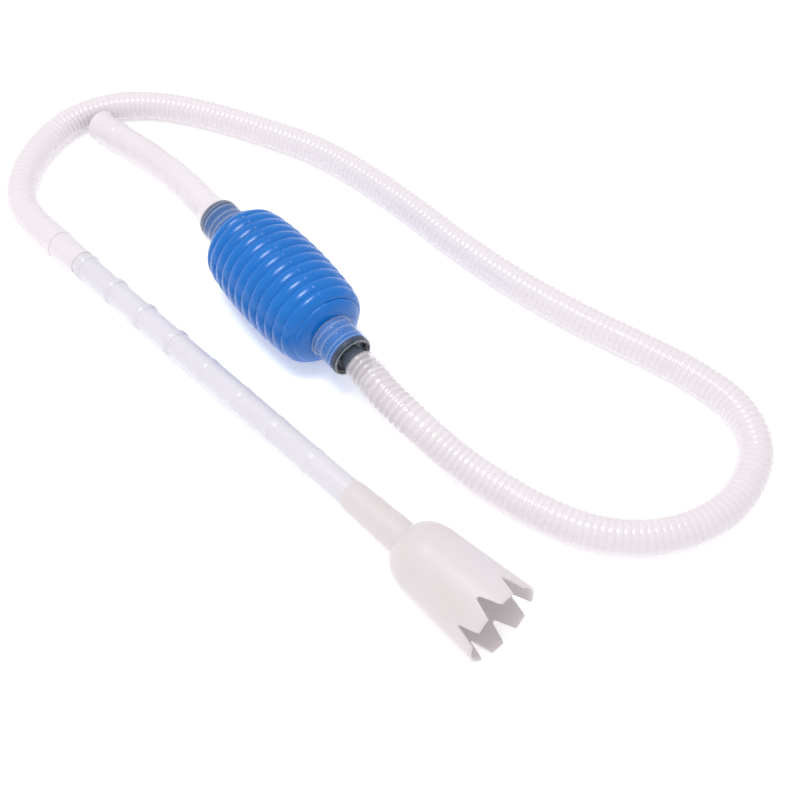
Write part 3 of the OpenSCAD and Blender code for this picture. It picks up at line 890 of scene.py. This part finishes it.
class SIPHON_OT_bulb(bpy.types.Operator):
    """Ribbed squeeze bulb with its two necks"""

    bl_idname = "siphon.bulb"
    bl_label = "Squeeze Bulb"

    def execute(self, context):
        bulb = context.scene.siphon_bulb
        piece = turned(
            "bulb_skin", INLET, self.outline(bulb), 160, self.mould_marks(bulb),
            seam_r=height("bulb") / 2,
        )
        finished(piece, bulb_vinyl(), "bulb_vinyl", None, "bulb")
        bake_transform(piece)
        return {"FINISHED"}

    def envelope(self, bulb, z):
        """Radius over the ribs' crests."""
        top = height("bulb") / 2
        barrel = top - (top - bulb.end_r) * (z / BULB_HALF) ** 2
        inset = np.clip(bulb.rounding - (BULB_HALF - np.abs(z)), 0, bulb.rounding)
        return barrel - (bulb.rounding - np.sqrt(bulb.rounding ** 2 - inset ** 2))

    def outline(self, bulb):
        ribbed = bulb.rib_pitch * bulb.ribs / 2
        steps_per_rib = 14
        z = np.linspace(-ribbed, ribbed, bulb.ribs * steps_per_rib + 1)
        phase = np.abs(((z + ribbed) / bulb.rib_pitch) % 1 - 0.5) * 2
        crests = self.envelope(bulb, z) - bulb.rib_depth * phase ** 2.2
        dome = BULB_HALF - (BULB_HALF - ribbed) * (1 - np.sin(np.linspace(0, 1, 13) * math.pi / 2))
        dome = dome[1:]
        lead = np.clip((dome - ribbed) / (1.5 * MM), 0, 1)
        dome_r = self.envelope(bulb, dome) - bulb.rib_depth * (1 - lead) ** 1.6
        neck_end = BULB_HALF + NECK_LEN
        pocket = FLANGE_IN - 0.2 * MM
        neck = eased([
            (dome_r[-1], BULB_HALF), (NECK_R, BULB_HALF, 1.2 * MM),
            (NECK_R, neck_end, 0.2 * MM), (POCKET_R, neck_end, 0.2 * MM),
            (POCKET_R, pocket, 0.1 * MM), (NECK_BORE_R, pocket, 0.2 * MM),
            (NECK_BORE_R, BULB_HALF - bulb.wall),
        ])
        inner_z = np.linspace(-0.99, 0.99, 41) * (BULB_HALF - bulb.wall)
        inner_r = np.maximum(NECK_BORE_R, self.envelope(bulb, inner_z) - bulb.rib_depth - bulb.wall)
        near = [*zip(dome_r, dome), *neck[1:]]
        far = [(r, -s) for r, s in reversed(near)]
        return [*far, *zip(crests, z), *near, *zip(inner_r[::-1], inner_z[::-1])]

    def mould_marks(self, bulb):
        """Parting line along the top and the bottom. The far half sits a little off."""

        def relief(angles, radius, distance):
            outer = radius > self.envelope(bulb, distance) - bulb.rib_depth - 0.4 * MM
            ridge = seam_ridge(angles, bulb.seam_h, 0.35 * MM, radius) * outer
            half = 1 / (1 + np.exp(-np.clip(np.sin(angles) * radius / (0.12 * MM), -40, 40)))
            ribbed = np.abs(distance) < bulb.rib_pitch * bulb.ribs / 2
            return ridge, half * bulb.mismatch * outer * ribbed

        return relief


class SIPHON_OT_collars(bpy.types.Operator):
    """Clear sleeves over the bulb's necks"""

    bl_idname = "siphon.collars"
    bl_label = "Collars"

    def execute(self, context):
        outline = self.outline()
        # Painted highlights along the collar's two cut ends
        start = np.exp(-((outline[:, 1] - COLLAR_START) / (0.3 * MM)) ** 2)
        end = np.exp(-((outline[:, 1] - COLLAR_END) / (0.22 * MM)) ** 2)
        # Painted highlights: thin pale lines along the crests of the collar's ribs, standing in for their gloss
        outer = outline[:, 0] > NECK_R + 0.8 * MM
        ribs = sum(
            np.exp(-((outline[:, 1] - COLLAR_START - rib) / (0.6 * MM)) ** 2) * outer
            for rib in (4.5 * MM, 9 * MM, 15 * MM, 18 * MM)
        )
        for name, place, body, look in (
            ("inlet", INLET, "siphon", material("Clear vinyl", clear_vinyl)),
            ("outlet", OUTLET, "outlet_end", material("Smoky vinyl", smoky_vinyl)),
        ):
            piece = turned(
                name + "_collar_sleeve", place, outline, 112, self.seam,
                {"painted_highlight": np.maximum(np.maximum(start, end), ribs * 0.7)}, NECK_R + 2 * MM,
            )
            finished(piece, look, "collar_vinyl", body, name + "_collar")
        return {"FINISHED"}

    def outline(self):
        bore = NECK_R + 0.3 * MM
        r = bore + 1.8 * MM
        z = COLLAR_START
        end = COLLAR_END
        lip = 11.8 * MM
        pocket = GASKET_OUT + 0.1 * MM
        return eased([
            (bore, z, 0.3 * MM), (r - 0.6 * MM, z, 0.4 * MM), (r, z + 1.2 * MM, 0.9 * MM),
            (r - 0.1 * MM, z + 4.5 * MM, 2 * MM), (r - 0.9 * MM, z + 7.2 * MM, 1.3 * MM),
            (r - 0.4 * MM, z + 9 * MM, 1 * MM), (r - 1.2 * MM, z + 11.5 * MM, 1.2 * MM),
            (r - 1 * MM, z + 13 * MM, 0.6 * MM), (r - 0.5 * MM, z + 15 * MM, 1 * MM),
            (r - 0.5 * MM, z + 18 * MM, 1.5 * MM), (r - 1 * MM, end - 1.6 * MM, 1 * MM),
            (r - 1.9 * MM, end - 0.3 * MM, 0.6 * MM), (r - 2.6 * MM, end, 0.5 * MM),
            (lip, end, 0.3 * MM), (lip, pocket, 0.2 * MM), (bore, pocket, 0.2 * MM),
        ])

    def seam(self, angles, radius, distance):
        outer = radius > NECK_R + 0.7 * MM
        return seam_ridge(angles, 0.12 * MM, 0.4 * MM, radius) * outer, 0 * radius


class SIPHON_OT_gaskets(bpy.types.Operator):
    """Black gasket rings under the collars' rims"""

    bl_idname = "siphon.gaskets"
    bl_label = "Gaskets"

    def execute(self, context):
        bore = CUFF_R + 0.15 * MM
        groove = (FLANGE_OUT + GASKET_OUT) / 2
        outline = eased([
            (bore, FLANGE_OUT, 0.3 * MM), (NECK_R, FLANGE_OUT, 0.6 * MM),
            (NECK_R, groove - 0.4 * MM, 0.2 * MM), (NECK_R - 0.3 * MM, groove, 0.2 * MM),
            (NECK_R, groove + 0.4 * MM, 0.2 * MM), (NECK_R, GASKET_OUT, 0.7 * MM),
            (bore, GASKET_OUT, 0.5 * MM),
        ])
        look = material("Black rubber", black_rubber)
        for name, place, body in (("inlet", INLET, "siphon"), ("outlet", OUTLET, "outlet_end")):
            piece = turned(name + "_gasket_ring", place, outline)
            finished(piece, look, "gasket_rubber", body, name + "_gasket")
        return {"FINISHED"}


class SIPHON_OT_valves(bpy.types.Operator):
    """Valve bodies with barbed spigots, and the discs, cage and seat inside the necks"""

    bl_idname = "siphon.valves"
    bl_label = "Valves"

    def execute(self, context):
        dark = material("Dark grey plastic", dark_plastic)
        rubber = material("Black rubber", black_rubber)
        inlet = turned("inlet_spigot", INLET, self.outline())
        finished(inlet, dark, "valve_plastic", "siphon", "inlet_valve_body")
        for name, look in (
            ("inlet_valve_cage", dark), ("outlet_valve_seat", dark), ("outlet_valve_body", dark),
            ("inlet_valve_disc", rubber), ("outlet_valve_disc", rubber),
        ):
            part = frame["nodes"][name]
            part.data.materials.clear()
            part.data.materials.append(look)
        return {"FINISHED"}

    def outline(self):
        passage = 5 * MM
        spigot = 6.8 * MM
        barb = HOSE_BORE_R - 0.05 * MM
        flange = POCKET_R - 0.1 * MM
        return eased([
            (passage, FLANGE_IN, 0.4 * MM), (flange, FLANGE_IN, 0.3 * MM),
            (flange, FLANGE_OUT, 0.3 * MM), (spigot, FLANGE_OUT, 0.3 * MM),
            (spigot, BARB_IN, 0.2 * MM), (barb, BARB_IN + 0.6 * MM, 0.3 * MM),
            (barb, BARB_OUT - 1 * MM, 0.5 * MM), (spigot, BARB_OUT, 0.4 * MM),
            (spigot, SPIGOT_OUT, 0.5 * MM), (passage, SPIGOT_OUT, 0.4 * MM),
        ])


class SIPHON_OT_gravel_tube(bpy.types.Operator):
    """Milky tube with ring beads"""

    bl_idname = "siphon.gravel_tube"
    bl_label = "Gravel Tube"

    def execute(self, context):
        finish = context.scene.siphon_finish
        tube = context.scene.siphon_tube
        cool = Vector(finish.cool)
        look = milky("Milky tube plastic", cool, cool * 0.97, finish.tube_cover, rough=0.2)
        piece = turned("gravel_tube_body", TUBE, self.outline(tube), 64, self.seam(tube))
        finished(piece, look, "tube_plastic", "gravel_tube", "gravel_tube")
        return {"FINISHED"}

    def outline(self, tube):
        end = tube.start + tube.long
        outer = [(tube.radius - tube.wall, tube.start, 0.2 * MM), (tube.radius, tube.start, 0.3 * MM)]
        for k in range(tube.beads):
            s = tube.first_bead + k * tube.bead_pitch
            tall = tube.tall if k < tube.tall_beads else tube.low
            rise = tube.radius + tall
            outer += [
                (tube.radius, s - 2.5 * MM, 0.4 * MM), (rise - tall * 0.15, s - 1.6 * MM, 0.35 * MM),
                (rise - tall * 0.45, s - 0.9 * MM, 0.3 * MM), (rise, s, 0.8 * MM),
                (rise - tall * 0.45, s + 0.9 * MM, 0.3 * MM),
                (rise - tall * 0.15, s + 1.6 * MM, 0.35 * MM), (tube.radius, s + 2.5 * MM, 0.4 * MM),
            ]
        outer += [(tube.radius, end, 0.3 * MM), (tube.radius - tube.wall, end, 0.2 * MM)]
        return eased(outer, 3)

    def seam(self, tube):
        def relief(angles, radius, distance):
            outer = radius > tube.radius - 0.3 * MM
            return seam_ridge(angles, 0.1 * MM, 0.5 * MM, radius) * outer, 0 * radius

        return relief


# Steps of the cup's socket: share of its length, and thickness in millimetres
SOCKET_STEPS = [(0, 0.5), (0.08, 0.95), (0.34, 1), (0.353, 1.35), (0.67, 1.35), (0.683, 1.7),
                (1, 1.7)]


class SIPHON_OT_gravel_cup(bpy.types.Operator):
    """Cup with a socket, a round shoulder, a flared skirt and teeth"""

    bl_idname = "siphon.gravel_cup"
    bl_label = "Gravel Cup"

    def execute(self, context):
        finish = context.scene.siphon_finish
        cup = context.scene.siphon_cup
        look = milky(
            "Milky cup plastic", finish.cup, finish.warm, finish.cup_cover, rough=0.3, cloud=22,
            amount=0.9,
        )
        # Painted glow: a faint even emission that lightens the inside, standing in for light that soaks through
        # the wall
        shader = look.node_tree.nodes["Principled BSDF"]
        shader.inputs["Emission Color"].default_value = (1.0, 0.95, 0.96, 1)
        shader.inputs["Emission Strength"].default_value = 0.1
        piece = skin("gravel_cup_body", self.rings(cup))
        finished(piece, look, "cup_plastic", "gravel_cup", "gravel_cup")
        return {"FINISHED"}

    def notches(self):
        """Angles of the notches; the two at the sides are left out."""
        return [math.radians(72 - a) for a in (45, 90, 135, 225, 270, 315)]

    def columns(self, cup):
        """Angles round the cup, with extra ones at the edges of each notch."""
        angles = set(np.round(np.linspace(-math.pi, math.pi, 144, endpoint=False), 6))
        for notch in self.notches():
            for share in (0, 0.45, 0.5, 1, 1.05):
                for way in (-1, 1):
                    half = cup.root / 2 if share < 1 else cup.notch
                    at = notch + way * share * half / cup.rim_r
                    angles.add(round(math.remainder(at, 2 * math.pi), 6))
        return np.array(sorted(angles))

    def bite(self, cup, angles):
        """Depth of the notches at these angles."""
        depth = np.zeros_like(angles)
        for notch in self.notches():
            off = np.abs(np.remainder(angles - notch + math.pi, 2 * math.pi) - math.pi)
            off = off * cup.rim_r
            slope = (cup.notch / 2 - off) / (cup.notch / 2 - cup.root / 2)
            depth = np.maximum(depth, cup.tooth * np.clip(slope, 0, 1))
        return depth

    def rings(self, cup):
        neck = 8.05 * MM
        skirt_from = cup.socket + cup.shoulder
        full = skirt_from + cup.skirt
        share = np.sin(np.linspace(0.06, 1, 18) * math.pi / 2) ** 2
        shoulder_r = neck + 1.7 * MM + (cup.shoulder_r - neck - 1.7 * MM) * np.sqrt(1 - (1 - share) ** 2)
        shoulder_s = cup.socket + cup.shoulder * share
        steps = eased([
            (neck, 0), *((neck + t * MM, p * cup.socket, 0.3 * MM) for p, t in SOCKET_STEPS),
            (shoulder_r[0], shoulder_s[0]),
        ])
        outside = [*steps[:-1], *zip(shoulder_r, shoulder_s)]
        inner_s = cup.socket + cup.wall + (cup.shoulder - cup.wall) * share
        throat = 7 * MM
        stop = cup.socket - 2 * MM
        inside = [
            *zip(np.maximum(shoulder_r[::-1] - cup.wall, throat), inner_s[::-1]),
            (throat, cup.socket + cup.wall), (throat, stop), (neck, stop), (neck, 0.6 * MM),
        ]
        angles = self.columns(cup)
        rim = full - self.bite(cup, angles)
        rows = []
        for r, s in outside:
            rows.append((np.full_like(angles, r), np.full_like(angles, s)))
        slope = (cup.rim_r - cup.shoulder_r) / cup.skirt
        foot = full - cup.tooth - 2 * MM
        for t in np.linspace(0.15, 1, 6):
            s = np.full_like(angles, skirt_from + (foot - skirt_from) * t)
            rows.append((cup.shoulder_r + slope * (s - skirt_from), s))
        round_off = 0.35 * MM
        for t in (0.2, 0.4, 0.6, 0.8, 1.0):
            s = foot + (rim - round_off - foot) * t
            rows.append((cup.shoulder_r + slope * (s - skirt_from), s))
        edge_r = cup.shoulder_r + slope * (rim - skirt_from)
        rows.append((edge_r - round_off, rim))
        rows.append((edge_r - cup.wall + round_off, rim))
        for t in (1.0, 0.8, 0.6, 0.4, 0.2):
            s = foot + (rim - round_off - foot) * t
            rows.append((cup.shoulder_r - cup.wall + slope * (s - skirt_from), s))
        for t in np.linspace(1, 0.15, 6):
            s = np.full_like(angles, skirt_from + (foot - skirt_from) * t)
            rows.append((cup.shoulder_r - cup.wall + slope * (s - skirt_from), s))
        for r, s in inside:
            rows.append((np.full_like(angles, r), np.full_like(angles, s)))
        radius = np.array([row[0] for row in rows])
        distance = np.array([row[1] for row in rows])
        return around(Place(TUBE.at(cup.start), TUBE.axis), angles, radius, distance)


class SIPHON_PT_panel(bpy.types.Panel):
    """Steps that build the siphon, in order"""

    bl_idname = "SIPHON_PT_panel"
    bl_label = "Gravel Vacuum Siphon"
    bl_space_type = "VIEW_3D"
    bl_region_type = "UI"
    bl_category = "Siphon"

    def draw(self, context):
        for step in STEPS:
            self.layout.operator(step.bl_idname)


STEPS = [
    SIPHON_OT_stage,
    SIPHON_OT_cuffs,
    SIPHON_OT_main_hose,
    SIPHON_OT_tail_hose,
    SIPHON_OT_bulb,
    SIPHON_OT_collars,
    SIPHON_OT_gaskets,
    SIPHON_OT_valves,
    SIPHON_OT_gravel_tube,
    SIPHON_OT_gravel_cup,
]
CLASSES = [*SETTINGS.values(), *STEPS, SIPHON_PT_panel]


def register():
    for made in CLASSES:
        bpy.utils.register_class(made)
    for name, group in SETTINGS.items():
        setattr(bpy.types.Scene, name, PointerProperty(type=group))


def unregister():
    for name in SETTINGS:
        delattr(bpy.types.Scene, name)
    for made in reversed(CLASSES):
        bpy.utils.unregister_class(made)


def main():
    register()
    for step in STEPS:
        family, name = step.bl_idname.split(".")
        getattr(getattr(bpy.ops, family), name)()


if __name__ == "__main__":
    main()
